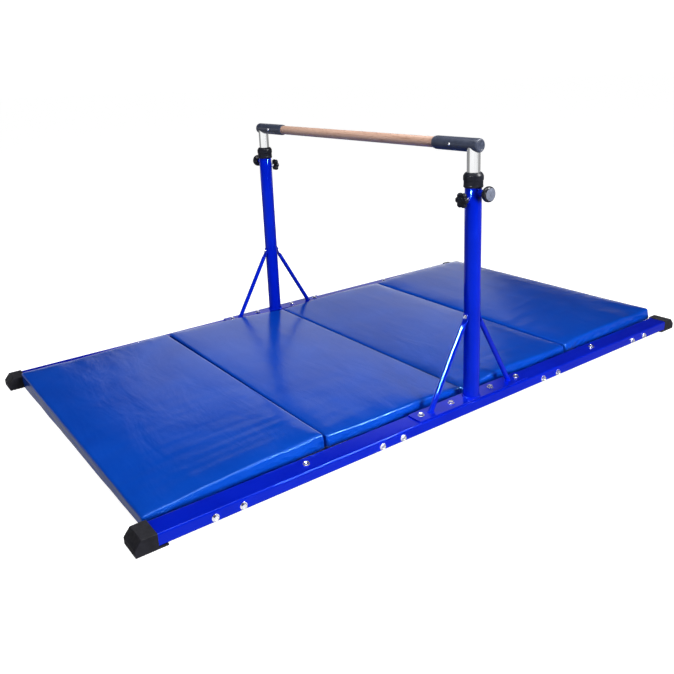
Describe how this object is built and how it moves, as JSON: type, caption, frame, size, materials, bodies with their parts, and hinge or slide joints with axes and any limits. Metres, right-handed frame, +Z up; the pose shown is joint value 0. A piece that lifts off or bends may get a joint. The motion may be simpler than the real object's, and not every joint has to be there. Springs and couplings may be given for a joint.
{
  "type": "gymnastics bar",
  "caption": "Free-standing height-adjustable junior gymnastics bar: wooden bar on telescoping braced posts, two long floor rails, and a folding padded mat lying between the rails.",
  "frame": {"origin": "on the floor, under the middle of the bar, midway between the two posts and between the rails' ends", "axes": "+X along the floor rails and the mat, +Y along the bar from the near post to the far post, +Z up"},
  "size_m": [2.552, 1.501, 0.9675],
  "materials": {
    "frame_coat": "gloss",
    "zinc": "satin",
    "chrome": "polished",
    "black_rubber": "matte",
    "black_plastic": "satin",
    "knob_plastic": "gloss",
    "grey_plastic": "satin",
    "wood": "satin",
    "vinyl": "satin",
    "web_vinyl": "satin"
  },
  "bodies": {
    "frame": {"rail_near": "frame_coat", "rail_far": "frame_coat", "cap_near_left": "black_rubber", "cap_near_right": "black_rubber", "cap_far_left": "black_rubber", "cap_far_right": "black_rubber", "cross_strap_1": "frame_coat", "cross_strap_2": "frame_coat", "cross_strap_3": "frame_coat", "cross_strap_4": "frame_coat", "side_bolts_near_1": "zinc", "side_bolts_near_2": "zinc", "side_bolts_near_3": "zinc", "side_bolts_near_4": "zinc", "side_bolts_far_1": "zinc", "side_bolts_far_2": "zinc", "side_bolts_far_3": "zinc", "side_bolts_far_4": "zinc", "base_plate_near": "frame_coat", "base_bolts_near": "zinc", "rail_bolt_near_left": "zinc", "rail_bolt_near_right": "zinc", "post_near": "frame_coat", "collar_near": "black_plastic", "brace_near_left": "frame_coat", "brace_bolt_near_left": "zinc", "brace_near_right": "frame_coat", "brace_bolt_near_right": "zinc", "pin_boss_near": "frame_coat", "star_boss_near": "zinc", "base_plate_far": "frame_coat", "base_bolts_far": "zinc", "rail_bolt_far_left": "zinc", "rail_bolt_far_right": "zinc", "post_far": "frame_coat", "collar_far": "black_plastic", "brace_far_left": "frame_coat", "brace_bolt_far_left": "zinc", "brace_far_right": "frame_coat", "brace_bolt_far_right": "zinc", "pin_boss_far": "frame_coat", "star_boss_far": "zinc", "fold_web_2": "web_vinyl"},
    "bar_carriage": {"inner_tube_near": "chrome", "fitting_near": "grey_plastic", "fitting_bolt_near": "zinc", "inner_tube_far": "chrome", "fitting_far": "grey_plastic", "fitting_bolt_far": "zinc", "wooden_bar": "wood"},
    "pin_near": {"pull_pin_near": "knob_plastic"},
    "star_near": {"star_knob_near": "black_plastic"},
    "pin_far": {"pull_pin_far": "knob_plastic"},
    "star_far": {"star_knob_far": "black_plastic"},
    "panel_2": {"mat_panel_2": "vinyl", "fold_web_1": "web_vinyl"},
    "panel_1": {"mat_panel_1": "vinyl"},
    "panel_3": {"mat_panel_3": "vinyl", "fold_web_3": "web_vinyl"},
    "panel_4": {"mat_panel_4": "vinyl"}
  },
  "joints": [
    {"name": "bar_height", "type": "slide", "parent": "frame", "child": "bar_carriage", "axis": [0, 0, 1], "range_m": [0, 0.56]},
    {"name": "pin_pull_near", "type": "slide", "parent": "frame", "child": "pin_near", "axis": [0, -1, 0], "range_m": [0, 0.01], "stiffness_N_per_m": 1200, "springref_m": -0.006},
    {"name": "pin_pull_far", "type": "slide", "parent": "frame", "child": "pin_far", "axis": [0, 1, 0], "range_m": [0, 0.01], "stiffness_N_per_m": 1200, "springref_m": -0.006},
    {"name": "clamp_turn_near", "type": "hinge", "parent": "frame", "child": "star_near", "pos_m": [0, -0.674, 0.768], "axis": [-1, 0, 0], "continuous": true},
    {"name": "clamp_turn_far", "type": "hinge", "parent": "frame", "child": "star_far", "pos_m": [0, 0.674, 0.768], "axis": [1, 0, 0], "continuous": true},
    {"name": "fold_left", "type": "hinge", "parent": "frame", "child": "panel_2", "pos_m": [0.012, 0, 0.058], "axis": [0, 1, 0], "range_deg": [0, 86]},
    {"name": "fold_left_outer", "type": "hinge", "parent": "panel_2", "child": "panel_1", "pos_m": [-0.59941, 0, 0.03007], "axis": [0, 1, 0], "range_deg": [-172, 0]},
    {"name": "fold_right", "type": "hinge", "parent": "frame", "child": "panel_3", "pos_m": [0.012, 0, 0.058], "axis": [0, -1, 0], "range_deg": [0, 86]},
    {"name": "fold_right_outer", "type": "hinge", "parent": "panel_3", "child": "panel_4", "pos_m": [0.62246, 0, 0.01396], "axis": [0, -1, 0], "range_deg": [-172, 0]}
  ],
  "couplings": [
    {"joint": "fold_left_outer", "follows": "fold_left", "ratio": -2},
    {"joint": "fold_right_outer", "follows": "fold_right", "ratio": -2}
  ]
}
